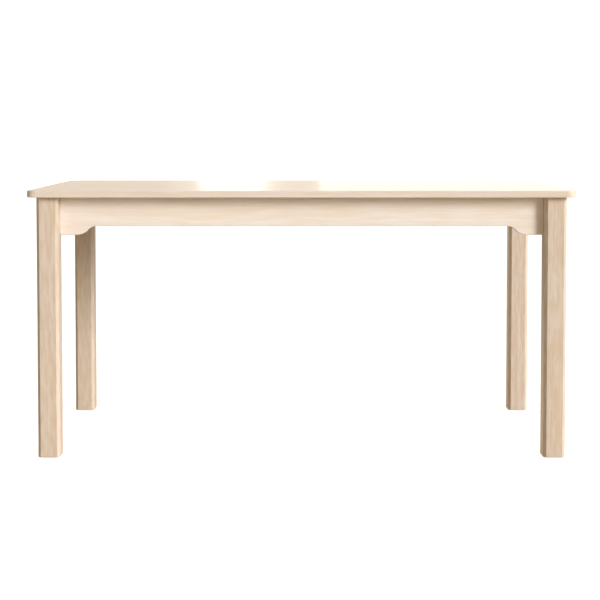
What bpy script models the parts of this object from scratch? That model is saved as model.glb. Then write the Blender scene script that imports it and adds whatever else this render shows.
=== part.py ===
"""Communion table: a solid wood top on a frame of four aprons, with bolt-on legs.

Metres, +Z up. The origin is on the floor under the middle of the top. +X runs along
the length and the front faces -Y. The left and right ends are alike, and so are the
front and the back.
"""

import math

import bmesh
import bpy
from mathutils import Vector

# Overall size
LENGTH = 1.524
DEPTH = 0.762
HEIGHT = 0.750
GAP = 0.0003  # between pieces that touch

# Top
TOP_THICKNESS = 0.019
TOP_CORNER_RADIUS = 0.028
TOP_ARRIS = 0.0018
TOP_OVERHANG = 0.0245

# Legs
LEG_SIDE = 0.061
LEG_CHAMFER = 0.008
FOOT_ARRIS = 0.001
GLIDE_RADIUS = 0.014
GLIDE_HEIGHT = 0.0015
GLIDE_ARRIS = 0.0005
GLIDE_STEM_RADIUS = 0.003
GLIDE_STEM_TIP = 0.003
GLIDE_STEM_LENGTH = 0.020

# Aprons. Each end keeps its full height as a bracket, which rises to the middle in an ogee.
APRON_THICKNESS = 0.019
APRON_SETBACK = 0.033
APRON_END_HEIGHT = 0.107
APRON_MIDDLE_HEIGHT = 0.0827
APRON_ARRIS = 0.0025
BRACKET_FLAT = 0.047
OGEE_LOWER_RADIUS = 0.040
OGEE_UPPER_RADIUS = 0.032
OGEE_STEPS = 7
GROOVE_DEPTH = 0.0092
GROOVE_TOP = 0.0114
GROOVE_BOTTOM = 0.0186

# Centre rail, housed in the front and back aprons
RAIL_THICKNESS = 0.020
RAIL_HEIGHT = 0.060
RAIL_HOUSING = 0.006
RAIL_SCREW_Y = 0.160
RAIL_SCREW_WOOD = 0.020  # wood left above each counterbore

# Corner blocks, across the inside of each corner
BLOCK_THICKNESS = 0.028
BLOCK_STANDOFF = 0.022  # from where the inner faces of two aprons would meet
BLOCK_TIP = 0.006
BLOCK_HEIGHT = 0.075
BLOCK_DROP = 0.020
BLOCK_SCREW_ALONG = 0.0525  # from where the inner faces of two aprons would meet
BLOCK_SCREW_WOOD = 0.012
BLOCK_SCREW_POCKET = 0.040

# Hanger bolts, M8, with their washers and nuts
BOLT_RADIUS = 0.004
BOLT_LENGTH = 0.100
BOLT_IN_LEG = 0.0425
BOLT_TIP = 0.006
BOLT_HOLE_RADIUS = 0.0045
WASHER_RADIUS = 0.011
WASHER_THICKNESS = 0.0016
NUT_ACROSS_FLATS = 0.013
NUT_HEIGHT = 0.0065

# Buttons: hardwood blocks with a tongue in the groove of an apron
BUTTON_WIDTH = 0.034
BUTTON_DEPTH = 0.032
BUTTON_THICKNESS = 0.018
BUTTON_STANDOFF = 0.0006
TONGUE_LENGTH = 0.008
TONGUE_THICKNESS = 0.006
BUTTON_FROM_MIDDLE_LONG = 0.340
BUTTON_FROM_MIDDLE_SHORT = 0.120

# Wood screws with pan heads
SCREW_RADIUS = 0.002
SCREW_TIP = 0.004
SCREW_HEAD_RADIUS = 0.004
SCREW_HEAD_HEIGHT = 0.0024
SCREW_HEAD_CROWN = 0.0028
BLOCK_SCREW_LENGTH = 0.024
BUTTON_SCREW_LENGTH = 0.028
RAIL_SCREW_LENGTH = 0.030

# Worked out from the sizes above
TOP_UNDERSIDE = HEIGHT - TOP_THICKNESS
FRAME_TOP = TOP_UNDERSIDE - GAP
LEG_FOOT = GLIDE_HEIGHT + GAP
LEG_X = LENGTH / 2 - TOP_OVERHANG - LEG_SIDE / 2
LEG_Y = DEPTH / 2 - TOP_OVERHANG - LEG_SIDE / 2
APRON_OUTER = APRON_SETBACK - LEG_SIDE / 2  # inwards from the middle of a leg
APRON_INNER = APRON_OUTER + APRON_THICKNESS

# Finishes: linear colour, roughness, metallic
TOP_WOOD = ((0.84, 0.71, 0.57), 0.28, 0.0)
LEG_WOOD = ((0.72, 0.57, 0.43), 0.42, 0.0)
APRON_WOOD = ((0.82, 0.68, 0.53), 0.40, 0.0)
HIDDEN_WOOD = ((0.66, 0.49, 0.32), 0.65, 0.0)
STEEL = ((0.62, 0.62, 0.60), 0.35, 1.0)
NYLON = ((0.86, 0.85, 0.81), 0.50, 0.0)

ROUND_SIDES = 16
SCREW_SIDES = 12
CORNER_STEPS = 8
SHARP_ANGLE = math.radians(35)
MERGE = 1e-6
UPWARD = (math.pi, 0, 0)  # turns a screw that points down to point up

# Name and quarter turn of each corner, counted from the front left one
CORNERS = (("front_left", 0), ("front_right", 1), ("back_right", 2), ("back_left", 3))


def clear_scene():
    for old in list(bpy.data.objects):
        bpy.data.objects.remove(old, do_unlink=True)


def finish_material(name, finish):
    colour, roughness, metallic = finish
    made = bpy.data.materials.new(name)
    made.use_nodes = True
    shader = made.node_tree.nodes["Principled BSDF"]
    shader.inputs["Base Color"].default_value = (*colour, 1.0)
    shader.inputs["Roughness"].default_value = roughness
    shader.inputs["Metallic"].default_value = metallic
    return made


def place(name, shape, location=(0, 0, 0), rotation=(0, 0, 0), parent=None):
    """An object made from a bmesh, with its faces pointing out."""
    bmesh.ops.recalc_face_normals(shape, faces=shape.faces)
    mesh = bpy.data.meshes.new(name)
    shape.to_mesh(mesh)
    shape.free()
    placed = bpy.data.objects.new(name, mesh)
    bpy.context.scene.collection.objects.link(placed)
    placed.location = location
    placed.rotation_euler = rotation
    placed.parent = parent
    return placed


def piece(name, shape, finish, smooth=False, **where):
    """A visible piece, with a material of its own."""
    made = place(name, shape, **where)
    made.data.materials.append(finish_material(name, finish))
    if smooth:
        made.data.shade_smooth()
        made.data.set_sharp_from_angle(angle=SHARP_ANGLE)
    return made


def cut(shape, *targets, **where):
    """Takes a shape out of the targets. Its object stays as a hidden helper."""
    helper = place(f"cut_from_{targets[0].name}", shape, **where)
    helper.hide_render = True
    helper.display_type = "WIRE"
    for target in targets:
        modifier = target.modifiers.new("Cut", "BOOLEAN")
        modifier.operation = "DIFFERENCE"
        modifier.solver = "EXACT"
        modifier.object = helper


def empty(name, location, turn):
    made = bpy.data.objects.new(name, None)
    bpy.context.scene.collection.objects.link(made)
    made.location = location
    made.rotation_euler = (0, 0, turn)
    return made


def box(low, high):
    shape = bmesh.new()
    bmesh.ops.create_cube(shape, size=1.0)
    low, high = Vector(low), Vector(high)
    bmesh.ops.scale(shape, vec=high - low, verts=shape.verts)
    bmesh.ops.translate(shape, vec=(low + high) / 2, verts=shape.verts)
    return shape


def prism(outline, depth):
    """An outline of 3-D points in one plane, extruded by the vector depth."""
    shape = bmesh.new()
    face = shape.faces.new([shape.verts.new(point) for point in outline])
    extruded = bmesh.ops.extrude_face_region(shape, geom=[face], use_keep_orig=True)
    moved = [item for item in extruded["geom"] if isinstance(item, bmesh.types.BMVert)]
    bmesh.ops.translate(shape, vec=depth, verts=moved)
    return shape


def turned(profile, sides, ring=False):
    """A profile of (radius, height) points spun about Z. A ring's profile closes on itself."""
    shape = bmesh.new()
    points = [shape.verts.new((radius, 0, height)) for radius, height in profile]
    following = points[1:] + points[:1] if ring else points[1:]
    edges = [shape.edges.new(pair) for pair in zip(points, following)]
    bmesh.ops.spin(
        shape,
        geom=points + edges,
        cent=(0, 0, 0),
        axis=(0, 0, 1),
        steps=sides,
        angle=2 * math.pi,
    )
    bmesh.ops.remove_doubles(shape, verts=shape.verts, dist=MERGE)
    return shape


def arc(centre, radius, start, end, steps):
    """Points (across, up) along an arc between two angles in radians, both ends included."""
    angles = [start + (end - start) * step / steps for step in range(steps + 1)]
    return [
        (centre[0] + radius * math.cos(angle), centre[1] + radius * math.sin(angle))
        for angle in angles
    ]


def edges_where(shape, wanted):
    return [edge for edge in shape.edges if wanted(*(vert.co for vert in edge.verts))]


def soften(shape, edges, width, segments=1):
    bmesh.ops.bevel(
        shape,
        geom=edges,
        offset=width,
        offset_type="OFFSET",
        segments=segments,
        profile=0.5,
        affect="EDGES",
    )


def screw_outline(length):
    """A pan-head screw along Z: the tip is down and the head's underside is at zero."""
    return [
        (0, -length),
        (SCREW_RADIUS, SCREW_TIP - length),
        (SCREW_RADIUS, 0),
        (SCREW_HEAD_RADIUS, 0),
        (SCREW_HEAD_RADIUS, SCREW_HEAD_HEIGHT / 2),
        (SCREW_HEAD_RADIUS / 2, SCREW_HEAD_HEIGHT),
        (0, SCREW_HEAD_CROWN),
    ]


def drive_screw(name, length, pocket, targets, **where):
    """A screw, and its hole in each piece that it passes through. The hole opens out to
    take the head, for the length of the pocket."""
    piece(name, turned(screw_outline(length), SCREW_SIDES), STEEL, smooth=True, **where)
    shank = SCREW_RADIUS + GAP
    head = SCREW_HEAD_RADIUS + GAP
    hole = [(0, -length - GAP), (shank, -length - GAP), (shank, -GAP)]
    hole += [(head, -GAP), (head, pocket), (0, pocket)]
    cut(turned(hole, SCREW_SIDES), *targets, **where)


def table_top():
    half_x = LENGTH / 2 - TOP_CORNER_RADIUS
    half_y = DEPTH / 2 - TOP_CORNER_RADIUS
    outline = []
    for turn, (sign_x, sign_y) in enumerate(((1, 1), (-1, 1), (-1, -1), (1, -1))):
        start = turn * math.pi / 2
        centre = (sign_x * half_x, sign_y * half_y)
        outline += arc(centre, TOP_CORNER_RADIUS, start, start + math.pi / 2, CORNER_STEPS)
    shape = prism([(x, y, 0) for x, y in outline], (0, 0, TOP_THICKNESS))
    soften(shape, edges_where(shape, lambda a, b: a.z == b.z), TOP_ARRIS, segments=2)
    return piece("table_top", shape, TOP_WOOD, location=(0, 0, TOP_UNDERSIDE))


def apron_outline(length):
    """Points (along, up), with the upper edge at zero."""
    end = length / 2
    rise = APRON_END_HEIGHT - APRON_MIDDLE_HEIGHT
    slope = math.acos(1 - rise / (OGEE_LOWER_RADIUS + OGEE_UPPER_RADIUS))
    reach = (OGEE_LOWER_RADIUS + OGEE_UPPER_RADIUS) * math.sin(slope)
    toe = end - BRACKET_FLAT
    down = -math.pi / 2
    lower = arc(
        (toe, OGEE_LOWER_RADIUS - APRON_END_HEIGHT),
        OGEE_LOWER_RADIUS,
        down,
        down - slope,
        OGEE_STEPS,
    )
    upper = arc(
        (toe - reach, -APRON_MIDDLE_HEIGHT - OGEE_UPPER_RADIUS),
        OGEE_UPPER_RADIUS,
        math.pi / 2 - slope,
        math.pi / 2,
        OGEE_STEPS,
    )
    right = [(end, 0), (end, -APRON_END_HEIGHT)] + lower + upper[1:]
    left = [(-along, up) for along, up in reversed(right)]
    return right + left


def apron(name, length, location, turn):
    """Its outer face is at zero in its own Y, its inner face at the thickness."""
    outline = [(along, 0, up) for along, up in apron_outline(length)]
    shape = prism(outline, (0, APRON_THICKNESS, 0))
    end = length / 2 - GAP
    lower_edges = edges_where(
        shape,
        lambda a, b: a.y == b.y and max(a.z, b.z) < -GAP and min(abs(a.x), abs(b.x)) < end,
    )
    soften(shape, lower_edges, APRON_ARRIS)
    made = piece(name, shape, APRON_WOOD, location=location, rotation=(0, 0, turn))
    groove = box(
        (-length, APRON_THICKNESS - GROOVE_DEPTH, -GROOVE_BOTTOM),
        (length, 2 * APRON_THICKNESS, -GROOVE_TOP),
    )
    cut(groove, made, parent=made)
    return made


def aprons():
    """The four aprons by name, each facing outwards between two legs."""
    long_length = 2 * (LEG_X - LEG_SIDE / 2 - GAP)
    short_length = 2 * (LEG_Y - LEG_SIDE / 2 - GAP)
    out_y = LEG_Y - APRON_OUTER
    out_x = LEG_X - APRON_OUTER
    quarter = math.pi / 2
    return {
        "front": apron("apron_front", long_length, (0, -out_y, FRAME_TOP), 0),
        "right": apron("apron_right", short_length, (out_x, 0, FRAME_TOP), quarter),
        "back": apron("apron_back", long_length, (0, out_y, FRAME_TOP), 2 * quarter),
        "left": apron("apron_left", short_length, (-out_x, 0, FRAME_TOP), 3 * quarter),
    }


def centre_rail(top, frame):
    """The rail from the front apron to the back one, let into both and screwed to the top."""
    inner_y = LEG_Y - APRON_OUTER - APRON_THICKNESS
    half = RAIL_THICKNESS / 2
    reach = inner_y + RAIL_HOUSING
    rail = piece(
        "centre_rail",
        box((-half, GAP - reach, -RAIL_HEIGHT), (half, reach - GAP, 0)),
        HIDDEN_WOOD,
        location=(0, 0, FRAME_TOP),
    )
    housing = box(
        (-half - GAP, -reach, -RAIL_HEIGHT - GAP), (half + GAP, reach, TOP_THICKNESS)
    )
    cut(housing, frame["front"], frame["back"], parent=rail)
    for side, sign in (("front", -1), ("back", 1)):
        drive_screw(
            f"rail_screw_{side}",
            RAIL_SCREW_LENGTH,
            RAIL_HEIGHT,
            (rail, top),
            location=(0, sign * RAIL_SCREW_Y, -RAIL_SCREW_WOOD),
            rotation=UPWARD,
            parent=rail,
        )


def leg(name, corner):
    """Its middle is on its corner's own Z axis."""
    half = LEG_SIDE / 2
    shape = box((-half, -half, LEG_FOOT), (half, half, FRAME_TOP))
    soften(shape, edges_where(shape, lambda a, b: a.z != b.z), LEG_CHAMFER)
    foot_edges = edges_where(shape, lambda a, b: max(a.z, b.z) < LEG_FOOT + GAP)
    soften(shape, foot_edges, FOOT_ARRIS)
    return piece(name, shape, LEG_WOOD, parent=corner)


def glide(name, corner, over):
    """A nylon disc under a leg, with a stem pushed up into it."""
    top = GLIDE_HEIGHT + GLIDE_STEM_LENGTH
    outline = [
        (0, 0),
        (GLIDE_RADIUS - GLIDE_ARRIS, 0),
        (GLIDE_RADIUS, GLIDE_ARRIS),
        (GLIDE_RADIUS, GLIDE_HEIGHT),
        (GLIDE_STEM_RADIUS, GLIDE_HEIGHT),
        (GLIDE_STEM_RADIUS, top - GLIDE_STEM_TIP),
        (GLIDE_STEM_RADIUS / 2, top),
        (0, top),
    ]
    piece(name, turned(outline, ROUND_SIDES), NYLON, smooth=True, parent=corner)
    bore = GLIDE_STEM_RADIUS + GAP
    hole = [(0, 0), (bore, 0), (bore, top + GAP), (0, top + GAP)]
    cut(turned(hole, ROUND_SIDES), over, parent=corner)


def corner_block(name, corner):
    """A block across the corner, with an end flat against each of the two aprons."""
    face = APRON_INNER + GAP
    near = 2 * APRON_INNER + BLOCK_STANDOFF * math.sqrt(2) - face
    far = near + BLOCK_THICKNESS * math.sqrt(2)
    tip = far - BLOCK_TIP
    outline = [
        (near, face),
        (tip, face),
        (tip, face + BLOCK_TIP),
        (face + BLOCK_TIP, tip),
        (face, tip),
        (face, near),
    ]
    shape = prism([(x, y, 0) for x, y in outline], (0, 0, BLOCK_HEIGHT))
    bottom = FRAME_TOP - BLOCK_DROP - BLOCK_HEIGHT
    return piece(name, shape, HIDDEN_WOOD, location=(0, 0, bottom), parent=corner)


def hex_nut():
    shape = bmesh.new()
    across_corners = NUT_ACROSS_FLATS / math.cos(math.pi / 6)
    bmesh.ops.create_cone(
        shape,
        cap_ends=True,
        segments=6,
        radius1=across_corners / 2,
        radius2=across_corners / 2,
        depth=NUT_HEIGHT,
    )
    bmesh.ops.translate(shape, vec=(0, 0, NUT_HEIGHT / 2), verts=shape.verts)
    return shape


def bolt_together(suffix, corner, leg_piece, block):
    """The hanger bolt from the leg through the corner block, with its washer and nut.
    Heights in its parts are along the bolt, from the leg's inner chamfer."""
    chamfer = (LEG_SIDE - LEG_CHAMFER) / math.sqrt(2)
    block_inner = APRON_INNER * math.sqrt(2) + BLOCK_STANDOFF + BLOCK_THICKNESS - chamfer
    height = FRAME_TOP - BLOCK_DROP - BLOCK_HEIGHT / 2
    middle = chamfer / math.sqrt(2)
    along_bolt = dict(
        rotation=Vector((1, 1, 0)).to_track_quat("Z", "Y").to_euler(), parent=corner
    )

    def at(distance):
        step = distance / math.sqrt(2)
        return (middle + step, middle + step, height)

    bolt = [
        (0, 0),
        (BOLT_RADIUS, BOLT_TIP),
        (BOLT_RADIUS, BOLT_LENGTH - BOLT_RADIUS / 4),
        (BOLT_RADIUS * 3 / 4, BOLT_LENGTH),
        (0, BOLT_LENGTH),
    ]
    start = at(-BOLT_IN_LEG)
    shape = turned(bolt, ROUND_SIDES)
    piece(f"hanger_bolt_{suffix}", shape, STEEL, smooth=True, location=start, **along_bolt)
    bore = BOLT_HOLE_RADIUS
    hole = [(0, -GAP), (bore, -GAP), (bore, BOLT_LENGTH), (0, BOLT_LENGTH)]
    cut(turned(hole, ROUND_SIDES), leg_piece, block, location=start, **along_bolt)

    rim = [
        (bore, 0),
        (WASHER_RADIUS, 0),
        (WASHER_RADIUS, WASHER_THICKNESS),
        (bore, WASHER_THICKNESS),
    ]
    washer_at = at(block_inner + GAP)
    shape = turned(rim, ROUND_SIDES, ring=True)
    piece(f"washer_{suffix}", shape, STEEL, smooth=True, location=washer_at, **along_bolt)
    nut_at = at(block_inner + GAP + WASHER_THICKNESS + GAP)
    nut = piece(f"nut_{suffix}", hex_nut(), STEEL, location=nut_at, **along_bolt)
    tapped = BOLT_RADIUS + GAP
    hole = [(0, -NUT_HEIGHT), (tapped, -NUT_HEIGHT), (tapped, 2 * NUT_HEIGHT), (0, 2 * NUT_HEIGHT)]
    cut(turned(hole, ROUND_SIDES), nut, location=nut_at, **along_bolt)


def corner_assembly(suffix, quarter_turns, along_x, along_y):
    """A leg with its glide, corner block and fixings. In the corner's own frame the two
    aprons run along +X and +Y, and the middle of the table is on the diagonal."""
    sign_x = 1 if quarter_turns in (1, 2) else -1
    sign_y = 1 if quarter_turns in (2, 3) else -1
    location = (sign_x * LEG_X, sign_y * LEG_Y, 0)
    corner = empty(f"corner_{suffix}", location, quarter_turns * math.pi / 2)
    leg_piece = leg(f"leg_{suffix}", corner)
    glide(f"glide_{suffix}", corner, leg_piece)
    block = corner_block(f"corner_block_{suffix}", corner)
    bolt_together(suffix, corner, leg_piece, block)
    along = APRON_INNER + BLOCK_SCREW_ALONG
    into = APRON_INNER + BLOCK_SCREW_WOOD
    height = FRAME_TOP - BLOCK_DROP - BLOCK_HEIGHT / 2
    for target, location, direction in (
        (along_x, (along, into, height), (0, 1, 0)),
        (along_y, (into, along, height), (1, 0, 0)),
    ):
        drive_screw(
            f"block_screw_{suffix}_{target.name.removeprefix('apron_')}",
            BLOCK_SCREW_LENGTH,
            BLOCK_SCREW_POCKET,
            (block, target),
            location=location,
            rotation=Vector(direction).to_track_quat("Z", "Y").to_euler(),
            parent=corner,
        )


def button(name, parent, along, top):
    """A button whose tongue pulls the top down on its apron, with its screw."""
    near = APRON_THICKNESS + BUTTON_STANDOFF
    far = near + BUTTON_DEPTH
    tongue = APRON_THICKNESS - TONGUE_LENGTH
    underside = -BUTTON_THICKNESS
    outline = [
        (near, 0),
        (far, 0),
        (far, underside),
        (tongue, underside),
        (tongue, underside + TONGUE_THICKNESS),
        (near, underside + TONGUE_THICKNESS),
    ]
    left = along - BUTTON_WIDTH / 2
    shape = prism([(left, across, up) for across, up in outline], (BUTTON_WIDTH, 0, 0))
    made = piece(f"button_{name}", shape, HIDDEN_WOOD, parent=parent)
    drive_screw(
        f"button_screw_{name}",
        BUTTON_SCREW_LENGTH,
        BUTTON_THICKNESS,
        (made, top),
        location=(along, (near + far) / 2, underside - GAP),
        rotation=UPWARD,
        parent=parent,
    )


def main():
    clear_scene()
    top = table_top()
    frame = aprons()
    centre_rail(top, frame)
    sides = list(frame.values())
    for suffix, quarter_turns in CORNERS:
        along_x = sides[quarter_turns]
        along_y = sides[quarter_turns - 1]
        corner_assembly(suffix, quarter_turns, along_x, along_y)
    for side, target in frame.items():
        long_side = side in ("front", "back")
        distance = BUTTON_FROM_MIDDLE_LONG if long_side else BUTTON_FROM_MIDDLE_SHORT
        for number, sign in ((1, -1), (2, 1)):
            button(f"{side}_{number}", target, sign * distance, top)


main()
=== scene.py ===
"""Looks of the communion table: fine meshes, wood, metal and nylon finishes, floor, light
and camera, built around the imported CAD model. Metres, in the CAD's own frame."""

import math

import bmesh
import bpy
from mathutils import Matrix, Vector


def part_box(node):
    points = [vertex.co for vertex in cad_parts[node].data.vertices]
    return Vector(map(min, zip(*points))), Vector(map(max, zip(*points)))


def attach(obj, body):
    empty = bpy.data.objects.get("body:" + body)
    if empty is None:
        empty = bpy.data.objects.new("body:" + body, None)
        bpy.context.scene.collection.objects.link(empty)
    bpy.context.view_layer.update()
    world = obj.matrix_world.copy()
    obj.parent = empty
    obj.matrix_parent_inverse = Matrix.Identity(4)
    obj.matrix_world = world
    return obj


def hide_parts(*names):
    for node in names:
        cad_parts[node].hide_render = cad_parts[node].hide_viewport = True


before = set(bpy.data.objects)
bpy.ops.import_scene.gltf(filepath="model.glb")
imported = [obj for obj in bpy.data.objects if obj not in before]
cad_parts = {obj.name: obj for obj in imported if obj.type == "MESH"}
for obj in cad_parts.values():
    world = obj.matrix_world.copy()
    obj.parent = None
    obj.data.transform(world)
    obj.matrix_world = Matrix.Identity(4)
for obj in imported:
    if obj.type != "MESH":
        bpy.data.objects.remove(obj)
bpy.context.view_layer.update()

SIDES = {"front": (0, -1), "right": (1, 0), "back": (0, 1), "left": (-1, 0)}
CORNERS = {
    "front_left": (-1, -1),
    "front_right": (1, -1),
    "back_right": (1, 1),
    "back_left": (-1, 1),
}
GAP = 0.0003  # between pieces that touch

# Shapes that a node's box doesn't give, as in the CAD
TOP_CORNER_RADIUS = 0.028
TOP_ARRIS = 0.0018
APRON_ARRIS = 0.0025
APRON_RISE = 0.0243
BRACKET_FLAT = 0.047
OGEE_LOWER_RADIUS = 0.040
OGEE_UPPER_RADIUS = 0.032
GROOVE_DEPTH = 0.0092
GROOVE_TOP = 0.0114
GROOVE_BOTTOM = 0.0186

# Fineness of the visual meshes
CORNER_STEPS = 24
ARRIS_STEPS = 5
OGEE_STEPS = 20
BEVEL_STEPS = 3
BEVEL_FROM = math.radians(28)
SMOOTH_BELOW = math.radians(32)
FLAT_FACE_WEIGHT = 80
WELD_WITHIN = 0.00001
HOLE_SIDES = 16
BORE_SIDES = 32

# How far sanding rounds the edges
SANDED = 0.0005
SANDED_HIDDEN = 0.0004

# Threads
RINGS_PER_TURN = 6
RINGS_PER_LONG_TURN = 8
RIDGE_STEEPNESS = 3.2  # the ridge takes up 2 / 3.2 of the pitch
FADE_TURNS = 0.5  # over which a thread fades out

# Pan-head screws
SCREW_SIDES = 20
SCREW_RADIUS = 0.002
SCREW_CORE = 0.0014
SCREW_SHANK = SCREW_RADIUS * 0.86
SCREW_PITCH = 0.0018
SCREW_THREADED = 0.68  # share of the length below the head
SCREW_RUNOUT = 0.0004  # from the thread to the shank
SCREW_EDGE = 0.0002  # height of the small slopes under and round the head
SCREW_POINT_RADIUS = 0.0002
SCREW_POINT_CORE = SCREW_CORE * 0.6
SCREW_POINT_SHOULDER = 0.0022
SCREW_POINT_LENGTH = 0.0036
SCREW_HEAD_RADIUS = 0.004
SCREW_HEAD_UNDERSIDE = SCREW_HEAD_RADIUS * 0.97
SCREW_HEAD_HEIGHT = 0.0028
SCREW_HEAD_RIM = 0.0008
CROWN_STEPS = 6
CROWN_FLAT = 0.30  # share of the head's radius
RECESS_ARM = 0.0021
RECESS_HALF_WIDTH = 0.00045
RECESS_FLOOR = 0.0012
RECESS_RADIUS = 0.0009
RECESS_DEEPEST = 0.0004
RECESS_TOP = 0.004

# Hanger bolts, with their washers and nuts
BOLT_SIDES = 24
BOLT_RADIUS = 0.004
BOLT_CORE = BOLT_RADIUS * 0.74
BOLT_BARE = BOLT_RADIUS * 0.93
BOLT_MACHINE_CORE = BOLT_RADIUS * 0.85
BOLT_END = BOLT_RADIUS * 0.75
BOLT_END_CHAMFER = BOLT_RADIUS / 4
BOLT_LENGTH = 0.100
BOLT_PITCH = 0.00125
BOLT_WOOD_PITCH = 0.0032
BOLT_WOOD_LENGTH = 0.048
BOLT_BARE_LENGTH = 0.010
BOLT_TIP = 0.006
BOLT_TIP_RADIUS = 0.0003
BOLT_TIP_CORE = BOLT_CORE * 0.7
BOLT_TIP_SHOULDER = BOLT_TIP * 0.7
BOLT_STEP = 0.001  # from a thread to the bare middle, and from the last thread to the end
WASHER_RADIUS = 0.011
WASHER_HOLE = 0.0045
WASHER_BORE_REACH = 0.01
WASHER_THICKNESS = 0.0016
WASHER_EDGE = 0.0002
NUT_ACROSS_FLATS = 0.013
NUT_HEIGHT = 0.0065
NUT_CONE = ((0, 0.93), (0.0002, 0.955), (0.0011, 1.1))  # depth from an end, share of corner
ROUND_SIDES = 48  # of a nut or a washer


def placed(name, data):
    """A new object with this data, in the scene."""
    made = bpy.data.objects.new(name, data)
    bpy.context.scene.collection.objects.link(made)
    return made


# ---------------------------------------------------------------- camera, light and floor

CAMERA_AT = (-0.0044, -4.189, 0.9214)
CAMERA_PITCH = math.radians(2.627)
CAMERA_LENS = 83.0
CAMERA_SENSOR = 36
CAMERA_SHIFT_Y = -0.18
CAMERA_REACH = 200

WHITE = (1, 1, 1)
WARM_GREY = (1.0, 0.87, 0.745)
DAYLIGHT = (0.97, 1.0, 1.09)
LAMPLIGHT = (1.0, 0.94, 0.82)

# Azimuth, elevation and softness in degrees, power and colour. Azimuth 0 is in front of the
# table and 90 is at its right end.
SUNS = {
    "key_low": (44, 16.5, 22, 2.45, DAYLIGHT),
    "key_high": (40, 32, 32, 0.56, DAYLIGHT),
    "right": (92, 12, 28, 1.25, DAYLIGHT),
    "behind": (210, 19, 30, 1.9, LAMPLIGHT),
}

OVERHEAD_AT = (0, 0, 3.6)
OVERHEAD_TARGET = (0, 0, 0.4)
OVERHEAD_SIZE = (3.5, 2.5)
OVERHEAD_POWER = 23

# Left and right end, distance behind the table's middle, radiance and colour. Where panels
# overlap as the camera sees them in the top, their glare adds up.
PANELS = {
    "panel_left": (-0.61, -0.235, 4.2, 1.5, WHITE),
    "panel_left_edge": (-0.235, -0.165, 4.2, 0.36, WHITE),
    "panel_left_halo": (-0.80, -0.61, 4.2, 0.13, WHITE),
    "panel_right": (0.074, 2.6, 1.4, 0.76, WHITE),
    "panel_middle": (-0.40, 0.25, 4.9, 0.19, WARM_GREY),
    "panel_behind": (-4.0, 4.0, 5.0, 1.06, WARM_GREY),
}
PANEL_LOW = 0.70
PANEL_HIGH = 2.1

WHITE_STRENGTH = 1.05
ROOM_COLOUR = (1.03, 0.915, 0.68, 1)
ROOM_WALLS = 0.42
ROOM_CEILING = 0.14
ROOM_CEILING_FROM = 0.7  # the upward part of the direction
ROOM_FRONT = 1.3
ROOM_BACK = 0.1

FLOOR_REACH = 60
FLOOR_GLOW = 0.80
FLOOR_COLOUR = (0.56, 0.52, 0.45, 1)


def add_camera():
    camera = placed("camera", bpy.data.cameras.new("camera"))
    camera.location = CAMERA_AT
    camera.rotation_euler = (math.pi / 2 - CAMERA_PITCH, 0, 0)
    camera.data.sensor_width = CAMERA_SENSOR
    camera.data.lens = CAMERA_LENS
    camera.data.shift_y = CAMERA_SHIFT_Y
    camera.data.clip_end = CAMERA_REACH
    bpy.context.scene.camera = camera


def add_area(name, location, target, size, power, colour):
    """A softbox of size (width, height), facing its target. The camera doesn't see it."""
    light = bpy.data.lights.new(name, "AREA")
    light.shape = "RECTANGLE"
    light.size, light.size_y = size
    light.energy = power
    light.color = colour
    area = placed(name, light)
    area.location = location
    toward = Vector(target) - Vector(location)
    area.rotation_euler = toward.to_track_quat("-Z", "Y").to_euler()
    area.visible_camera = False
    return area


def add_overhead():
    """A softbox above the table, which isn't mirrored in anything."""
    overhead = add_area(
        "overhead", OVERHEAD_AT, OVERHEAD_TARGET, OVERHEAD_SIZE, OVERHEAD_POWER, DAYLIGHT
    )
    overhead.visible_glossy = False


def add_panel(name, left, right, away, radiance, colour):
    """A bright panel behind the table, seen only as glare along the glossy top."""
    width, height = right - left, PANEL_HIGH - PANEL_LOW
    place = ((left + right) / 2, away, (PANEL_LOW + PANEL_HIGH) / 2)
    facing = (place[0], 0, place[2])
    power = radiance * math.pi * width * height
    panel = add_area(name, place, facing, (width, height), power, colour)
    panel.visible_diffuse = False


def direction_at(azimuth, elevation):
    """Towards a place round the table, with the angles as in SUNS."""
    turn, rise = math.radians(azimuth), math.radians(elevation)
    level = math.cos(rise)
    return Vector((level * math.sin(turn), -level * math.cos(turn), math.sin(rise)))


def add_sun(name, azimuth, elevation, softness, power, colour):
    """A distant soft light, which isn't mirrored in anything."""
    light = bpy.data.lights.new(name, "SUN")
    light.energy = power
    light.color = colour
    light.angle = math.radians(softness)
    sun = placed(name, light)
    sun.rotation_euler = direction_at(azimuth, elevation).to_track_quat("Z", "Y").to_euler()
    sun.visible_glossy = False


def add_lights():
    """A soft key light from the front right, low and with a weaker upper part, fill from the
    right, from behind and from above, and the panels."""
    for name, facts in SUNS.items():
        add_sun(name, *facts)
    add_overhead()
    for name, facts in PANELS.items():
        add_panel(name, *facts)


def background(tree, colour, strength):
    made = tree.nodes.new("ShaderNodeBackground")
    made.inputs["Color"].default_value = colour
    made.inputs["Strength"].default_value = strength
    return made


def brought(tree, value, source, result):
    """A value brought from one range to another. Each range is (low, high)."""
    made = tree.nodes.new("ShaderNodeMapRange")
    for name, number in zip(("From Min", "From Max", "To Min", "To Max"), (*source, *result)):
        made.inputs[name].default_value = number
    tree.links.new(value, made.inputs["Value"])
    return made.outputs["Result"]


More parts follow.
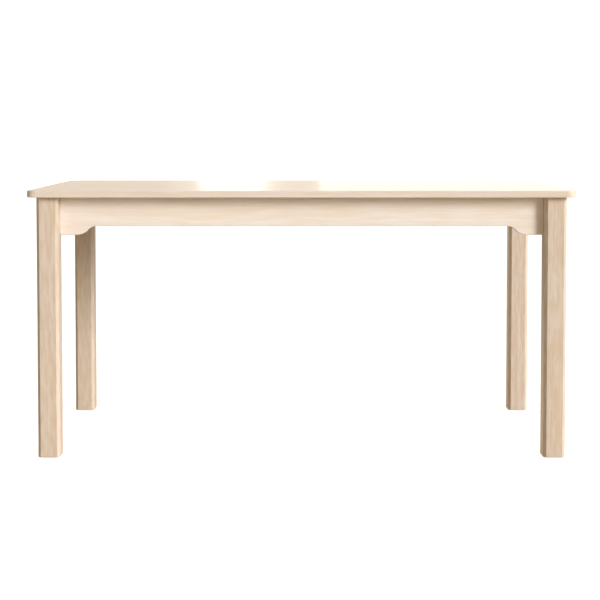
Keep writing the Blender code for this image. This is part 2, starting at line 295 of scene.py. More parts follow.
def add_world():
    """White for the camera. For the light and the reflections it is a warm grey room, whose
    walls are brighter near the floor than its ceiling, and brightest in front."""
    world = bpy.data.worlds.new("studio")
    bpy.context.scene.world = world
    world.use_nodes = True
    tree = world.node_tree
    tree.nodes.clear()
    direction = tree.nodes.new("ShaderNodeTexCoord")
    parts = tree.nodes.new("ShaderNodeSeparateXYZ")
    tree.links.new(direction.outputs["Generated"], parts.inputs[0])
    strength = brought(
        tree, parts.outputs["Z"], (0.0, ROOM_CEILING_FROM), (ROOM_WALLS, ROOM_CEILING)
    )
    share = brought(tree, parts.outputs["Y"], (-1.0, 1.0), (ROOM_FRONT, ROOM_BACK))
    product = tree.nodes.new("ShaderNodeMath")
    product.operation = "MULTIPLY"
    tree.links.new(strength, product.inputs[0])
    tree.links.new(share, product.inputs[1])
    room = background(tree, ROOM_COLOUR, ROOM_WALLS)
    tree.links.new(product.outputs[0], room.inputs["Strength"])
    white = background(tree, (*WHITE, 1), WHITE_STRENGTH)
    path = tree.nodes.new("ShaderNodeLightPath")
    mix = tree.nodes.new("ShaderNodeMixShader")
    output = tree.nodes.new("ShaderNodeOutputWorld")
    tree.links.new(path.outputs["Is Camera Ray"], mix.inputs["Fac"])
    tree.links.new(room.outputs["Background"], mix.inputs[1])
    tree.links.new(white.outputs["Background"], mix.inputs[2])
    tree.links.new(mix.outputs["Shader"], output.inputs["Surface"])


def add_floor():
    """A plain matt floor. A glow that only the camera sees keeps it white, as in the
    photograph, so the shadows at the feet hardly show."""
    mesh = bpy.data.meshes.new("floor")
    turns = ((-1, -1), (1, -1), (1, 1), (-1, 1))
    corners = [(FLOOR_REACH * x, FLOOR_REACH * y, 0) for x, y in turns]
    mesh.from_pydata(corners, [], [(0, 1, 2, 3)])
    finish = bpy.data.materials.new("floor_white")
    finish.use_nodes = True
    tree = finish.node_tree
    tree.nodes.clear()
    path = tree.nodes.new("ShaderNodeLightPath")
    seen = tree.nodes.new("ShaderNodeMath")
    seen.operation = "MULTIPLY"
    seen.inputs[1].default_value = FLOOR_GLOW
    tree.links.new(path.outputs["Is Camera Ray"], seen.inputs[0])
    glow = tree.nodes.new("ShaderNodeEmission")
    tree.links.new(seen.outputs[0], glow.inputs["Strength"])
    matt = tree.nodes.new("ShaderNodeBsdfDiffuse")
    matt.inputs["Color"].default_value = FLOOR_COLOUR
    both = tree.nodes.new("ShaderNodeAddShader")
    tree.links.new(glow.outputs[0], both.inputs[0])
    tree.links.new(matt.outputs[0], both.inputs[1])
    output = tree.nodes.new("ShaderNodeOutputMaterial")
    tree.links.new(both.outputs[0], output.inputs["Surface"])
    mesh.materials.append(finish)
    floor = placed("floor", mesh)


# ---------------------------------------------------------------- finishes

# Wood tones, pale to dark, as linear colours
TOP_TONES = ((0.885, 0.75, 0.615), (0.84, 0.69, 0.55), (0.81, 0.66, 0.515))
APRON_TONES = ((0.93, 0.82, 0.705), (0.89, 0.77, 0.645), (0.83, 0.69, 0.555))
LEG_TONES = ((0.755, 0.615, 0.485), (0.695, 0.55, 0.41), (0.625, 0.475, 0.345))
HIDDEN_TONES = ((0.70, 0.54, 0.37), (0.62, 0.455, 0.29), (0.50, 0.345, 0.20))
# The back legs' darker tones are painted shade, for the light they lose under and behind the
# table.
BACK_LEG_PAINTED_SHADE = 0.96
END_APRON_SHADE = 0.88

TOP_ROUGHNESS = 0.30
TOP_SPECULAR = 0.5
TOP_COAT = 0.25
COAT_ROUGHNESS = 0.2
APRON_ROUGHNESS = 0.38
LEG_ROUGHNESS = 0.40
HIDDEN_ROUGHNESS = 0.58
WOOD_SPECULAR = 0.35

# Each piece of wood has its own place in the grain, which its seed moves. The hidden pieces
# count up from theirs.
TOP_SEED = 3
LEG_SEEDS = {"front_left": 11, "front_right": 13, "back_right": 15, "back_left": 17}
APRON_SEEDS = {"front": 21, "right": 24, "back": 27, "left": 30}
HIDDEN_SEED = 31
SEED_MOVE = (1.37, 0.61, 0.29)

# The way the grain runs, then the two directions across it
DIAGONAL = math.sqrt(0.5)
GRAIN_AXES = {
    "x": ((1, 0, 0), (0, 1, 0), (0, 0, 1)),
    "y": ((0, 1, 0), (1, 0, 0), (0, 0, 1)),
    "z": ((0, 0, 1), (1, 0, 0), (0, 1, 0)),
    "rising": ((DIAGONAL, DIAGONAL, 0), (-DIAGONAL, DIAGONAL, 0), (0, 0, 1)),
    "falling": ((DIAGONAL, -DIAGONAL, 0), (DIAGONAL, DIAGONAL, 0), (0, 0, 1)),
}

# Noises: features in a metre along the grain, features in a metre across it, detail and
# roughness
STREAKS = (1.1, 46.0, 5.0, 0.58)
FINE_STREAKS = (3.0, 240.0, 3.0, 0.6)
FIBRES = (26.0, 900.0, 3.0, 0.6)
PORES = (75.0, 2600.0, 1.0, 0.5)
GOLDEN_PATCHES = (2.6, 24.0, 3.0, 0.5)
WORN_PATCHES = (6.0, 18.0, 3.0, 0.5)
LINE_WANDER = (0.8, 5.0, 2.0, 0.5)
LONG_FLECKS = (10.0, 90.0, 2.0, 0.5)
SHORT_FLECKS = (20.0, 110.0, 2.0, 0.5)

# How much of each makes up the tone, and where a tone turns pale, middling or dark
STREAK_SHARE = 0.70
FINE_SHARE = 0.30
LINE_SHARE = 0.07
STAVE_SHARE = 0.06
TONE_STOPS = (0.34, 0.53, 0.82)

GOLDEN = (1.0, 0.985, 0.945, 1)
GOLDEN_STOPS = ((0.50, 0.0), (0.66, 1.0))
FLECK_STOPS = ((0.34, (1.035, 1.065, 1.11)), (0.66, (0.965, 0.935, 0.89)))
FLECK_STRENGTHS = {LONG_FLECKS: 0.5, SHORT_FLECKS: 1.0}
PORE_STOPS = ((0.0, 1.0), (0.27, 1.0), (0.36, 0.0), (1.0, 0.0))
PORE_SHADE = 0.04
PORE_DEPTH = 0.5
FIBRE_SHADES = (0.95, 1.05)
FIBRE_ROUGHNESS = 0.02
WOOD_BUMP = (0.00004, 0.5)  # a bump's depth and strength
WEAR = 0.035

# End grain shows where a face looks nearly along the grain: it is darker and rougher
END_STOPS = ((0.75, 0.0), (0.92, 1.0))
END_SHADES = (0.06, 0.16)
END_ROUGHNESS = 0.12

GROWTH_SPACING = 0.009
GROWTH_SLOPE = 0.35
GROWTH_WANDER = 9.0
GROWTH_STOPS = ((0.0, 0.0), (0.55, 0.35), (0.9, 1.0), (1.0, 0.0))

STAVE_WIDTH = 0.762 / 8
STAVE_SEED = 0.37
STAVE_MOVE = 7.0
SEAM_STOPS = ((0.0, 1.0), (0.004, 0.6), (0.008, 0.0))
SEAM_SHADE = 0.05

ZINC_CLOUD = (160, 160, 160)
ZINC_STOPS = ((0.3, (0.60, 0.61, 0.62)), (0.7, (0.72, 0.70, 0.64)))
ZINC_RUBBED = (700, 700, 700)
ZINC_ROUGHNESS = (0.22, 0.46)
ZINC_BUMP = (0.00003, 0.4)

NYLON_SCUFFS = (300, 900, 300)
NYLON_STOPS = ((0.35, (0.86, 0.85, 0.81)), (0.75, (0.80, 0.78, 0.72)))
NYLON_ROUGHNESS = (0.42, 0.66)
NYLON_BUMP = (0.00005, 0.4)
NYLON_MILKINESS = 0.15
NYLON_DEPTH = (0.002, 0.002, 0.002)


class Shader:
    """A material's node tree, with short calls to add nodes to it."""

    def __init__(self, name):
        self.material = bpy.data.materials.new(name)
        self.material.use_nodes = True
        self.tree = self.material.node_tree
        self.surface = self.tree.nodes["Principled BSDF"]

    def feed(self, socket, value):
        if isinstance(value, bpy.types.NodeSocket):
            self.tree.links.new(value, socket)
        else:
            socket.default_value = value

    def node(self, kind, output, inputs, **settings):
        made = self.tree.nodes.new(kind)
        for key, value in settings.items():
            setattr(made, key, value)
        for key, value in inputs.items():
            self.feed(made.inputs[key], value)
        return made.outputs[output]

    def math(self, operation, first, second=0.0):
        inputs = {0: first, 1: second}
        return self.node("ShaderNodeMath", 0, inputs, operation=operation)

    def vector(self, operation, first, second=(0, 0, 0)):
        inputs = {0: first, 1: second}
        return self.node("ShaderNodeVectorMath", 0, inputs, operation=operation)

    def dot(self, first, second):
        return self.vector("DOT_PRODUCT", first, second).node.outputs["Value"]

    def combine(self, x, y, z):
        return self.node("ShaderNodeCombineXYZ", 0, {0: x, 1: y, 2: z})

    def place(self):
        """Object coordinates, in metres."""
        return self.node("ShaderNodeTexCoord", "Object", {})

    def noise(self, place, scale, detail=3.0, roughness=0.5):
        """Noise from 0 to 1. Scale is how many features there are in a metre along each axis."""
        stretched = self.vector("MULTIPLY", place, scale)
        inputs = {"Vector": stretched, "Scale": 1.0, "Detail": detail, "Roughness": roughness}
        return self.node("ShaderNodeTexNoise", 0, inputs)

    def grain_noise(self, place, kind):
        """One of the wood's noises, as they are listed above."""
        along, across, detail, roughness = kind
        return self.noise(place, (along, across, across), detail, roughness)

    def ramp(self, value, stops):
        """Stops are (position, grey or colour)."""
        made = self.tree.nodes.new("ShaderNodeValToRGB")
        made.color_ramp.interpolation = "EASE"
        elements = made.color_ramp.elements
        while len(elements) < len(stops):
            elements.new(0.5)
        for element, (position, colour) in zip(elements, stops):
            element.position = position
            grey = isinstance(colour, (int, float))
            element.color = (colour,) * 3 + (1,) if grey else (*colour, 1)
        self.feed(made.inputs[0], value)
        return made.outputs[0]

    def mix_colour(self, share, first, second, blend="MIX"):
        """Sockets 6, 7 and 2 are the mix node's colours."""
        made = self.tree.nodes.new("ShaderNodeMix")
        made.data_type = "RGBA"
        made.blend_type = blend
        self.feed(made.inputs[0], share)
        self.feed(made.inputs[6], first)
        self.feed(made.inputs[7], second)
        return made.outputs[2]

    def bump(self, height, distance, strength=1.0):
        inputs = {"Height": height, "Distance": distance, "Strength": strength}
        return self.node("ShaderNodeBump", 0, inputs)

    def scaled(self, value, low, high):
        """A value from 0 to 1 brought to the range from low to high."""
        return self.math("ADD", self.math("MULTIPLY", value, high - low), low)


def shaded(tones, share):
    return [[share * part for part in tone] for tone in tones]


def grain_place(shader, axis, seed):
    """Object coordinates turned so that the grain runs along X, moved by the seed, and how
    far across the grain a point lies."""
    place = shader.place()
    along, across, up = [shader.dot(place, direction) for direction in GRAIN_AXES[axis]]
    move = tuple(part * seed for part in SEED_MOVE)
    return shader.vector("ADD", shader.combine(along, across, up), move), across


def boards(shader, place, across, seed):
    """Boards glued edge to edge: a random number for each, its own grain, and the glue line."""
    number = shader.math("FLOOR", shader.math("DIVIDE", across, STAVE_WIDTH))
    inputs = {"W": shader.math("ADD", number, STAVE_SEED * seed)}
    tint = shader.node("ShaderNodeTexWhiteNoise", 0, inputs, noise_dimensions="1D")
    move = shader.math("MULTIPLY", tint, STAVE_MOVE)
    place = shader.vector("ADD", place, shader.combine(move, 0, move))
    seam = shader.math("FRACT", shader.math("DIVIDE", across, STAVE_WIDTH))
    seam = shader.math("PINGPONG", seam, 0.5)
    return tint, place, shader.ramp(seam, SEAM_STOPS)


def growth_lines(shader, place):
    """Fine lines that wander along the grain and now and then close into tall arches."""
    parts = shader.tree.nodes.new("ShaderNodeSeparateXYZ")
    shader.feed(parts.inputs[0], place)
    depth = shader.math("MULTIPLY", parts.outputs[2], GROWTH_SLOPE)
    across = shader.math("ADD", parts.outputs[1], depth)
    wander = shader.grain_noise(place, LINE_WANDER)
    phase = shader.math("MULTIPLY", across, 1 / GROWTH_SPACING)
    phase = shader.math("ADD", phase, shader.math("MULTIPLY", wander, GROWTH_WANDER))
    return shader.ramp(shader.math("FRACT", phase), GROWTH_STOPS)


def wood_tone(shader, place, lines, tint):
    """From 0, pale, to 1, dark: long soft streaks, fine ones, growth lines and each board."""
    streaks = shader.grain_noise(place, STREAKS)
    fine = shader.grain_noise(place, FINE_STREAKS)
    tone = shader.math("MULTIPLY", streaks, STREAK_SHARE)
    tone = shader.math("ADD", tone, shader.math("MULTIPLY", fine, FINE_SHARE))
    tone = shader.math("ADD", tone, shader.math("MULTIPLY", lines, LINE_SHARE))
    if tint is not None:
        tone = shader.math("ADD", tone, shader.scaled(tint, -STAVE_SHARE, STAVE_SHARE))
    return tone


def wood_colour(shader, place, tone, tones, flecks):
    """The tone's colour, with golden patches and with pale and dark flecks."""
    colour = shader.ramp(tone, list(zip(TONE_STOPS, tones)))
    patches = shader.grain_noise(place, GOLDEN_PATCHES)
    patches = shader.ramp(patches, GOLDEN_STOPS)
    golden = shader.mix_colour(patches, (*WHITE, 1), GOLDEN)
    colour = shader.mix_colour(1.0, colour, golden, "MULTIPLY")
    fleck = shader.ramp(shader.grain_noise(place, flecks), FLECK_STOPS)
    return shader.mix_colour(FLECK_STRENGTHS[flecks], colour, fleck, "MULTIPLY")


def wood(name, axis, tones, seed, roughness, flecks, staves=False):
    """Planed and lacquered wood with its grain along an axis, its fibres, its pores and a
    darker end grain. Tones are pale, middling and dark, flecks are one of the wood's noises,
    and staves are the top's glued boards."""
    shader = Shader(name)
    place, across = grain_place(shader, axis, seed)
    tint, seam = None, None
    if staves:
        tint, place, seam = boards(shader, place, across, seed)
    lines = growth_lines(shader, place)
    fibres = shader.grain_noise(place, FIBRES)
    pores = shader.ramp(shader.grain_noise(place, PORES), PORE_STOPS)
    tone = wood_tone(shader, place, lines, tint)
    colour = wood_colour(shader, place, tone, tones, flecks)

    facing = shader.node("ShaderNodeNewGeometry", "True Normal", {})
    end_on = shader.math("ABSOLUTE", shader.dot(facing, GRAIN_AXES[axis][0]))
    end_on = shader.ramp(end_on, END_STOPS)
    shade = shader.scaled(fibres, *FIBRE_SHADES)
    shade = shader.math("SUBTRACT", shade, shader.math("MULTIPLY", pores, PORE_SHADE))
    end_shade = shader.math("MULTIPLY", end_on, shader.scaled(lines, *END_SHADES))
    shade = shader.math("SUBTRACT", shade, end_shade)
    if staves:
        shade = shader.math("SUBTRACT", shade, shader.math("MULTIPLY", seam, SEAM_SHADE))
    shade = shader.combine(shade, shade, shade)
    colour = shader.mix_colour(1.0, colour, shade, "MULTIPLY")
    shader.feed(shader.surface.inputs["Base Color"], colour)

    worn = shader.grain_noise(place, WORN_PATCHES)
    gloss = shader.scaled(worn, roughness - WEAR, roughness + WEAR)
    gloss = shader.math("ADD", gloss, shader.math("MULTIPLY", end_on, END_ROUGHNESS))
    gloss = shader.math("ADD", gloss, shader.math("MULTIPLY", fibres, FIBRE_ROUGHNESS))
    shader.feed(shader.surface.inputs["Roughness"], gloss)
    height = shader.math("SUBTRACT", fibres, shader.math("MULTIPLY", pores, PORE_DEPTH))
    shader.feed(shader.surface.inputs["Normal"], shader.bump(height, *WOOD_BUMP))
    shader.surface.inputs["Specular IOR Level"].default_value = WOOD_SPECULAR
    shader.surface.inputs["Coat Roughness"].default_value = COAT_ROUGHNESS
    return shader.material


def polished_wood_top():
    """The top's wood, glossier than the rest under its thin clear coat."""
    finish = wood("wood_top", "x", TOP_TONES, TOP_SEED, TOP_ROUGHNESS, LONG_FLECKS, staves=True)
    surface = finish.node_tree.nodes["Principled BSDF"]
    surface.inputs["Specular IOR Level"].default_value = TOP_SPECULAR
    surface.inputs["Coat Weight"].default_value = TOP_COAT
    return finish


def zinc_steel():
    """Zinc-plated steel: bluish grey with a faint yellow cast, rubbed bright in places."""
    shader = Shader("zinc_steel")
    place = shader.place()
    cloud = shader.noise(place, ZINC_CLOUD)
    shader.feed(shader.surface.inputs["Base Color"], shader.ramp(cloud, ZINC_STOPS))
    rubbed = shader.noise(place, ZINC_RUBBED, 2.0)
    shader.feed(shader.surface.inputs["Roughness"], shader.scaled(rubbed, *ZINC_ROUGHNESS))
    shader.surface.inputs["Metallic"].default_value = 1.0
    shader.feed(shader.surface.inputs["Normal"], shader.bump(rubbed, *ZINC_BUMP))
    return shader.material


def nylon():
    """Natural nylon: milky, a little rough, and scuffed."""
    shader = Shader("nylon")
    scuffs = shader.noise(shader.place(), NYLON_SCUFFS)
    shader.feed(shader.surface.inputs["Base Color"], shader.ramp(scuffs, NYLON_STOPS))
    shader.feed(shader.surface.inputs["Roughness"], shader.scaled(scuffs, *NYLON_ROUGHNESS))
    shader.feed(shader.surface.inputs["Normal"], shader.bump(scuffs, *NYLON_BUMP))
    shader.surface.inputs["Subsurface Weight"].default_value = NYLON_MILKINESS
    shader.surface.inputs["Subsurface Radius"].default_value = NYLON_DEPTH
    return shader.material


# ---------------------------------------------------------------- shapes


def to_mesh(shape, name):
    bmesh.ops.recalc_face_normals(shape, faces=shape.faces)
    mesh = bpy.data.meshes.new(name)
    shape.to_mesh(mesh)
    shape.free()
    return mesh


def add_piece(name, node, mesh, finish, matrix=None):
    """A piece in place of a CAD node, riding on the table's one body."""
    piece = placed(name, mesh)
    if matrix is not None:
        piece.matrix_world = matrix
    if not mesh.materials:
        mesh.materials.append(finish)
    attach(piece, "root")
    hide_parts(node)
    return piece


def flatten(piece, keep_sharp):
    """The large flat faces keep their own direction beside rounded edges."""
    normals = piece.modifiers.new("flat_faces", "WEIGHTED_NORMAL")
    normals.keep_sharp = keep_sharp
    normals.weight = FLAT_FACE_WEIGHT


def smooth(piece):
    """Round faces shade smoothly, and flat ones stay flat."""
    piece.data.shade_smooth()
    piece.data.set_sharp_from_angle(angle=SMOOTH_BELOW)
    flatten(piece, keep_sharp=True)


def weld(piece):
    """Joins the corners that a CAD mesh has once for each face."""
    join = piece.modifiers.new("weld", "WELD")
    join.merge_threshold = WELD_WITHIN


def soften_edges(piece, width):
    """Rounds the edges a little, as sanding does."""
    bevel = piece.modifiers.new("sanded_edges", "BEVEL")
    bevel.width = width
    bevel.segments = BEVEL_STEPS
    bevel.limit_method = "ANGLE"
    bevel.angle_limit = BEVEL_FROM
    bevel.use_clamp_overlap = True
    bevel.harden_normals = False


def recolour(node, finish):
    node.data.materials.clear()
    node.data.materials.append(finish)


def finish_wooden_node(node, finish, width):
    """A wooden CAD mesh keeps its shape: it gets its finish, and its edges are eased."""
    recolour(node, finish)
    weld(node)
    soften_edges(node, width)
    flatten(node, keep_sharp=False)


def box_shape(low, high):
    shape = bmesh.new()
    bmesh.ops.create_cube(shape, size=1.0)
    low, high = Vector(low), Vector(high)
    bmesh.ops.scale(shape, vec=high - low, verts=shape.verts)
    bmesh.ops.translate(shape, vec=(low + high) / 2, verts=shape.verts)
    return shape


def cylinder_shape(radius, low, high, sides):
    shape = bmesh.new()
    bmesh.ops.create_cone(
        shape, cap_ends=True, segments=sides, radius1=radius, radius2=radius, depth=high - low
    )
    bmesh.ops.translate(shape, vec=(0, 0, (low + high) / 2), verts=shape.verts)
    return shape


def carved(mesh, cutters):
    """The mesh with the cutters taken out of it. Each cutter is a bmesh in the same frame."""
    target = placed("carving", mesh)
    helpers = []
    for cutter in cutters:
        helper = placed("cutter", to_mesh(cutter, "cutter"))
        helpers.append(helper)
        cut = target.modifiers.new("cut", "BOOLEAN")
        cut.object = helper
        cut.solver = "EXACT"
    graph = bpy.context.evaluated_depsgraph_get()
    result = bpy.data.meshes.new_from_object(target.evaluated_get(graph))
    result.name = mesh.name
    for used in [target, *helpers]:
        bpy.data.objects.remove(used, do_unlink=True)
    return result


def arc(centre, radius, start, end, steps):
    """Points from one angle to another round a centre."""
    angles = [start + (end - start) * step / steps for step in range(steps + 1)]
    return [
        (centre[0] + radius * math.cos(angle), centre[1] + radius * math.sin(angle))
        for angle in angles
    ]


def circle(radius, height, sides):
    angles = [2 * math.pi * side / sides for side in range(sides)]
    return [(radius * math.cos(angle), radius * math.sin(angle), height) for angle in angles]


def lofted(rings):
    """Closed rings of equal counts joined in turn, with a face over the first and the last."""
    shape = bmesh.new()
    loops = [[shape.verts.new(point) for point in ring] for ring in rings]
    for lower, upper in zip(loops, loops[1:]):
        for here in range(len(lower)):
            after = (here + 1) % len(lower)
            shape.faces.new((lower[here], lower[after], upper[after], upper[here]))
    shape.faces.new(reversed(loops[0]))
    shape.faces.new(loops[-1])
    return shape


# ---------------------------------------------------------------- top, legs and aprons


def names_with(*prefixes):
    """The CAD nodes whose names start so, prefix by prefix."""
    names = sorted(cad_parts)
    return [name for prefix in prefixes for name in names if name.startswith(prefix)]


def upward_holes():
    """Cutters for the top round the screws that point up, each a little longer than its screw."""
    cutters = []
    for name in names_with("button_screw_", "rail_screw_"):
        low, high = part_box(name)
        hole = cylinder_shape(SCREW_RADIUS + GAP, low.z, high.z + GAP, HOLE_SIDES)
        centre = (low + high) / 2
        bmesh.ops.translate(hole, vec=(centre.x, centre.y, 0), verts=hole.verts)
        cutters.append(hole)
    return cutters


def rounded_rectangle(half_x, half_y, radius, height):
    points = []
    for turn, (sign_x, sign_y) in enumerate(((1, 1), (-1, 1), (-1, -1), (1, -1))):
        start = turn * math.pi / 2
        centre = (sign_x * (half_x - radius), sign_y * (half_y - radius))
        points += arc(centre, radius, start, start + math.pi / 2, CORNER_STEPS)
    return [(x, y, height) for x, y in points]


def make_top():
    low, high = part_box("table_top")
    quarter = [math.pi / 2 * step / ARRIS_STEPS for step in range(ARRIS_STEPS + 1)]
    bottom = [
        (TOP_ARRIS * (1 - math.sin(a)), low.z + TOP_ARRIS * (1 - math.cos(a))) for a in quarter
    ]
    top = [(inset, low.z + high.z - height) for inset, height in reversed(bottom)]
    rings = [
        rounded_rectangle(high.x - inset, high.y - inset, TOP_CORNER_RADIUS - inset, height)
        for inset, height in bottom + top
    ]
    mesh = carved(to_mesh(lofted(rings), "table_top_fine"), upward_holes())
    finish = polished_wood_top()
    smooth(add_piece("table_top_panel", "table_top", mesh, finish))


def finish_legs():
    """Legs in their own grain, the back ones a little darker as painted shade, for the light they
    lose under and behind the table.
    """
    for corner, seed in LEG_SEEDS.items():
        tones = shaded(LEG_TONES, BACK_LEG_PAINTED_SHADE if corner.startswith("back") else 1.0)
        finish = wood(f"wood_leg_{corner}", "z", tones, seed, LEG_ROUGHNESS, SHORT_FLECKS)
        finish_wooden_node(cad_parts[f"leg_{corner}"], finish, SANDED)


def apron_outline(length, height):
    """Points (along, up), with the upper edge at zero."""
    end = length / 2
    both_radii = OGEE_LOWER_RADIUS + OGEE_UPPER_RADIUS
    slope = math.acos(1 - APRON_RISE / both_radii)
    toe = end - BRACKET_FLAT
    down = -math.pi / 2
    lower_centre = (toe, OGEE_LOWER_RADIUS - height)
    lower = arc(lower_centre, OGEE_LOWER_RADIUS, down, down - slope, OGEE_STEPS)
    upper_centre = (toe - both_radii * math.sin(slope), APRON_RISE - height - OGEE_UPPER_RADIUS)
    upper = arc(upper_centre, OGEE_UPPER_RADIUS, -down - slope, -down, OGEE_STEPS)
    right = [(end, 0), (end, -height)] + lower + upper[1:]
    return right + [(-along, up) for along, up in reversed(right)]


def apron_shape(length, thickness, height):
    """The outline given its thickness along Y, with eased edges along its underside."""
    shape = bmesh.new()
    outline = apron_outline(length, height)
    face = shape.faces.new([shape.verts.new((along, 0, up)) for along, up in outline])
    extruded = bmesh.ops.extrude_face_region(shape, geom=[face], use_keep_orig=True)
    moved = [item for item in extruded["geom"] if isinstance(item, bmesh.types.BMVert)]
    bmesh.ops.translate(shape, vec=(0, thickness, 0), verts=moved)
    inner = length / 2 - GAP
    edges = []
    for edge in shape.edges:
        a, b = (vert.co for vert in edge.verts)
        on_underside = max(a.z, b.z) < -GAP and min(abs(a.x), abs(b.x)) < inner
        if on_underside and abs(a.y - b.y) < GAP:
            edges.append(edge)
    bmesh.ops.bevel(
        shape,
        geom=edges,
        offset=APRON_ARRIS,
        offset_type="OFFSET",
        segments=ARRIS_STEPS,
        profile=0.5,
        affect="EDGES",
    )
    return shape


def rail_housing(depth):
    """A cutter where the centre rail meets the long aprons, open upwards."""
    low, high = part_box("centre_rail")
    room = Vector((GAP, GAP, GAP))
    return box_shape(low - room, high + room + Vector((0, 0, depth)))


def make_apron(side, seed):
    low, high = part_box(f"apron_{side}")
    out_x, out_y = SIDES[side]
    long_side = out_x == 0
    size = high - low
    length, thickness = (size.x, size.y) if long_side else (size.y, size.x)
    mesh = to_mesh(apron_shape(length, thickness, size.z), f"apron_{side}_fine")
    groove = box_shape(
        (-length, thickness - GROOVE_DEPTH, -GROOVE_BOTTOM), (length, 2 * thickness, -GROOVE_TOP)
    )
    mesh = carved(mesh, [groove])
    middle = (low + high) / 2
    outer = Vector((middle.x + out_x * thickness / 2, middle.y + out_y * thickness / 2, high.z))
    turn = math.atan2(out_x, -out_y)
    mesh.transform(Matrix.Translation(outer) @ Matrix.Rotation(turn, 4, "Z"))
    if long_side:
        mesh = carved(mesh, [rail_housing(thickness)])
    axis = "x" if long_side else "y"
    tones = shaded(APRON_TONES, 1.0 if long_side else END_APRON_SHADE)
    finish = wood(f"wood_apron_{side}", axis, tones, seed, APRON_ROUGHNESS, LONG_FLECKS)
    piece = add_piece(f"apron_{side}_board", f"apron_{side}", mesh, finish)
    soften_edges(piece, SANDED)
    smooth(piece)


# ---------------------------------------------------------------- hidden wood and fixings


def finish_hidden_wood():
    """The rail, the buttons, and the corner blocks, whose grain crosses their corner."""
    nodes = [("centre_rail", "y")]
    for corner, (sign_x, sign_y) in CORNERS.items():
        nodes.append((f"corner_block_{corner}", "falling" if sign_x == sign_y else "rising"))
    nodes += [(f"button_{side}_{number}", "x") for side in SIDES for number in (1, 2)]
    for seed, (name, axis) in enumerate(nodes, HIDDEN_SEED):
        finish = wood(f"wood_{name}", axis, HIDDEN_TONES, seed, HIDDEN_ROUGHNESS, SHORT_FLECKS)
        finish_wooden_node(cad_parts[name], finish, SANDED_HIDDEN)


def threaded_rings(start, length, core, crest, pitch, sides, per_turn):
    """Rings up Z whose radius follows a screw thread, which fades out at both ends."""
    rings = []
    count = max(2, round(length / pitch * per_turn))
    for step in range(count + 1):
        height = start + length * step / count
        fade = min(1, min(step, count - step) / per_turn / FADE_TURNS)
        ring = []
        for side in range(sides):
            phase = (height / pitch - side / sides) % 1
            ridge = max(0.0, 1 - abs(phase - 0.5) * RIDGE_STEEPNESS)
            radius = core + (crest - core) * ridge * fade
            angle = 2 * math.pi * side / sides
            ring.append((radius * math.cos(angle), radius * math.sin(angle), height))
        rings.append(ring)
    return rings


def cross_recess():
    """Cutters for the cross in a screw's head."""
    cutters = []
    for turn in (0, math.pi / 2):
        arm = box_shape(
            (-RECESS_ARM, -RECESS_HALF_WIDTH, RECESS_FLOOR),
            (RECESS_ARM, RECESS_HALF_WIDTH, RECESS_TOP),
        )
        matrix = Matrix.Rotation(turn, 3, "Z")
        bmesh.ops.rotate(arm, cent=(0, 0, 0), matrix=matrix, verts=arm.verts)
        cutters.append(arm)
    cutters.append(cylinder_shape(RECESS_RADIUS, RECESS_DEEPEST, RECESS_TOP, HOLE_SIDES))
    return cutters


def screw_mesh(length):
    """A pan-head wood screw: the head's underside is at zero and the tip points down."""
    threaded = length * SCREW_THREADED
    start = -length + SCREW_POINT_LENGTH
    below = [
        (SCREW_POINT_RADIUS, -length),
        (SCREW_POINT_CORE, -length + SCREW_POINT_SHOULDER),
    ]
    above = [
        (SCREW_SHANK, start + threaded + SCREW_RUNOUT),
        (SCREW_SHANK, -SCREW_EDGE),
        (SCREW_RADIUS, 0),
        (SCREW_HEAD_UNDERSIDE, 0),
        (SCREW_HEAD_RADIUS, SCREW_EDGE),
    ]
    for step in range(CROWN_STEPS + 1):
        angle = math.pi / 2 * step / CROWN_STEPS
        radius = SCREW_HEAD_RADIUS * (CROWN_FLAT + (1 - CROWN_FLAT) * math.cos(angle))
        rise = (SCREW_HEAD_HEIGHT - SCREW_HEAD_RIM) * math.sin(angle)
        above.append((radius, SCREW_HEAD_RIM + rise))
    rings = [circle(radius, height, SCREW_SIDES) for radius, height in below]
    rings += threaded_rings(
        start, threaded, SCREW_CORE, SCREW_RADIUS, SCREW_PITCH, SCREW_SIDES, RINGS_PER_TURN
    )
    rings += [circle(radius, height, SCREW_SIDES) for radius, height in above]
    return carved(to_mesh(lofted(rings), "pan_head_screw"), cross_recess())


def screw_place(node, direction):
    """Where a screw's head meets the wood, and the screw's length below its head."""
    low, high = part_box(node)
    middle = (low + high) / 2
    half = abs((high - low).dot(direction)) / 2
    head = middle - direction * (half - SCREW_HEAD_HEIGHT)
    return head, 2 * half - SCREW_HEAD_HEIGHT


def make_screws(steel):
    """Screws into the corner blocks point at an apron, and the others point up. Screws of
    one length share a mesh."""
    meshes = {}
    for name in names_with("block_screw_", "button_screw_", "rail_screw_"):
        sideways = name.startswith("block_screw_")
        side = name.rsplit("_", 1)[1]
        direction = Vector((*SIDES[side], 0) if sideways else (0, 0, 1))
        place, length = screw_place(name, direction)
        key = round(length, 4)  # to a tenth of a millimetre
        if key not in meshes:
            meshes[key] = screw_mesh(length)
        turn = direction.to_track_quat("-Z", "Y").to_matrix().to_4x4()
        matrix = Matrix.Translation(place) @ turn
        smooth(add_piece(f"{name}_pan_head", name, meshes[key], steel, matrix))


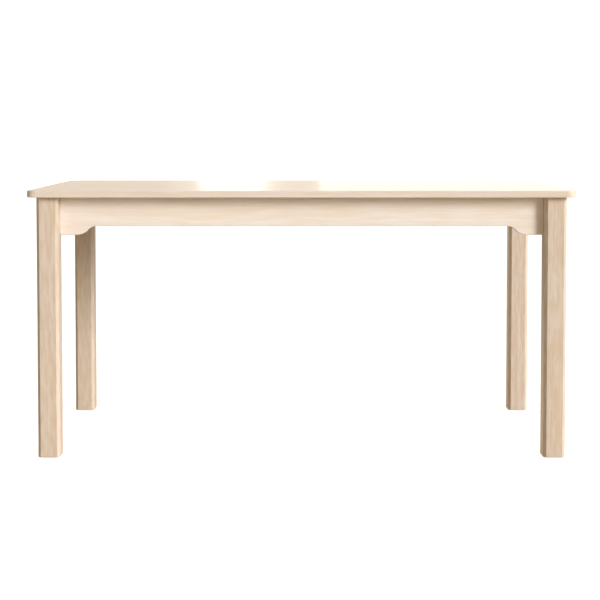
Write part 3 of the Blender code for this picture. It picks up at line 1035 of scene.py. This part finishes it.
def bolt_mesh():
    """A hanger bolt: wood thread from its tip, a bare middle and a machine thread."""
    wood_end = BOLT_WOOD_LENGTH
    wood_thread = threaded_rings(
        BOLT_TIP,
        wood_end - BOLT_TIP,
        BOLT_CORE,
        BOLT_RADIUS,
        BOLT_WOOD_PITCH,
        BOLT_SIDES,
        RINGS_PER_LONG_TURN,
    )
    machine_start = wood_end + BOLT_BARE_LENGTH
    machine_thread = threaded_rings(
        machine_start,
        BOLT_LENGTH - machine_start - BOLT_STEP,
        BOLT_MACHINE_CORE,
        BOLT_RADIUS,
        BOLT_PITCH,
        BOLT_SIDES,
        RINGS_PER_TURN,
    )
    rings = [
        circle(BOLT_TIP_RADIUS, 0, BOLT_SIDES),
        circle(BOLT_TIP_CORE, BOLT_TIP_SHOULDER, BOLT_SIDES),
        *wood_thread,
        circle(BOLT_BARE, wood_end + BOLT_STEP, BOLT_SIDES),
        circle(BOLT_BARE, machine_start - BOLT_STEP, BOLT_SIDES),
        *machine_thread,
        circle(BOLT_END, BOLT_LENGTH, BOLT_SIDES),
    ]
    return to_mesh(lofted(rings), "hanger_bolt")


def hexagon(height, largest):
    """A ring with flats, cut off where it would pass the largest radius."""
    ring = []
    for side in range(ROUND_SIDES):
        angle = 2 * math.pi * side / ROUND_SIDES
        within = (angle + math.pi / 6) % (math.pi / 3) - math.pi / 6
        radius = min(NUT_ACROSS_FLATS / 2 / math.cos(within), largest)
        ring.append((radius * math.cos(angle), radius * math.sin(angle), height))
    return ring


def nut_mesh():
    """A hexagon nut, its corners turned off at both ends, with a bore for the thread."""
    corner = NUT_ACROSS_FLATS / 2 / math.cos(math.pi / 6)
    half = NUT_HEIGHT / 2
    rings = [hexagon(-half + depth, corner * share) for depth, share in NUT_CONE]
    rings += [hexagon(half - depth, corner * share) for depth, share in reversed(NUT_CONE)]
    bore = cylinder_shape(BOLT_RADIUS + GAP, -NUT_HEIGHT, NUT_HEIGHT, BORE_SIDES)
    return carved(to_mesh(lofted(rings), "hex_nut"), [bore])


def washer_mesh():
    half = WASHER_THICKNESS / 2
    rings = [
        circle(WASHER_RADIUS - WASHER_EDGE, -half, ROUND_SIDES),
        circle(WASHER_RADIUS, -half + WASHER_EDGE, ROUND_SIDES),
        circle(WASHER_RADIUS, half - WASHER_EDGE, ROUND_SIDES),
        circle(WASHER_RADIUS - WASHER_EDGE, half, ROUND_SIDES),
    ]
    bore = cylinder_shape(WASHER_HOLE, -WASHER_BORE_REACH, WASHER_BORE_REACH, BORE_SIDES)
    return carved(to_mesh(lofted(rings), "washer"), [bore])


def bolt_start(corner, inward, height):
    """Where a bolt's axis starts. Along a diagonal, the box reaches from the bolt's tip to its
    rim at the other end, which stands out past the axis by the radius less the chamfer."""
    low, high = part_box(f"hanger_bolt_{corner}")
    length = (high - low).x * math.sqrt(2) + BOLT_END_CHAMFER - BOLT_RADIUS
    sign_x, sign_y = CORNERS[corner]
    tip = Vector((low.x if sign_x < 0 else high.x, low.y if sign_y < 0 else high.y, height))
    return tip + inward * (length - BOLT_LENGTH)


def make_bolts(steel):
    """In each corner, a bolt that points inwards on the diagonal, with its nut and washer."""
    bolt, nut, washer = bolt_mesh(), nut_mesh(), washer_mesh()
    for corner, (sign_x, sign_y) in CORNERS.items():
        inward = Vector((-sign_x, -sign_y, 0)).normalized()
        turn = inward.to_track_quat("Z", "Y").to_matrix().to_4x4()
        nut_low, nut_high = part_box(f"nut_{corner}")
        nut_middle = (nut_low + nut_high) / 2
        washer_low, washer_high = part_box(f"washer_{corner}")
        washer_middle = (washer_low + washer_high) / 2
        start = bolt_start(corner, inward, nut_middle.z)
        for name, place, mesh, label in (
            (f"hanger_bolt_{corner}", start, bolt, "threaded"),
            (f"nut_{corner}", nut_middle, nut, "hexagon"),
            (f"washer_{corner}", washer_middle, washer, "plain"),
        ):
            matrix = Matrix.Translation(place) @ turn
            smooth(add_piece(f"{name}_{label}", name, mesh, steel, matrix))


def finish_glides():
    finish = nylon()
    for corner in CORNERS:
        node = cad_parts[f"glide_{corner}"]
        recolour(node, finish)
        weld(node)


bpy.context.scene.view_settings.view_transform = "Standard"
add_camera()
add_world()
add_lights()
add_floor()
make_top()
finish_legs()
for apron_side, apron_seed in APRON_SEEDS.items():
    make_apron(apron_side, apron_seed)
finish_hidden_wood()
zinc = zinc_steel()
make_screws(zinc)
make_bolts(zinc)
finish_glides()
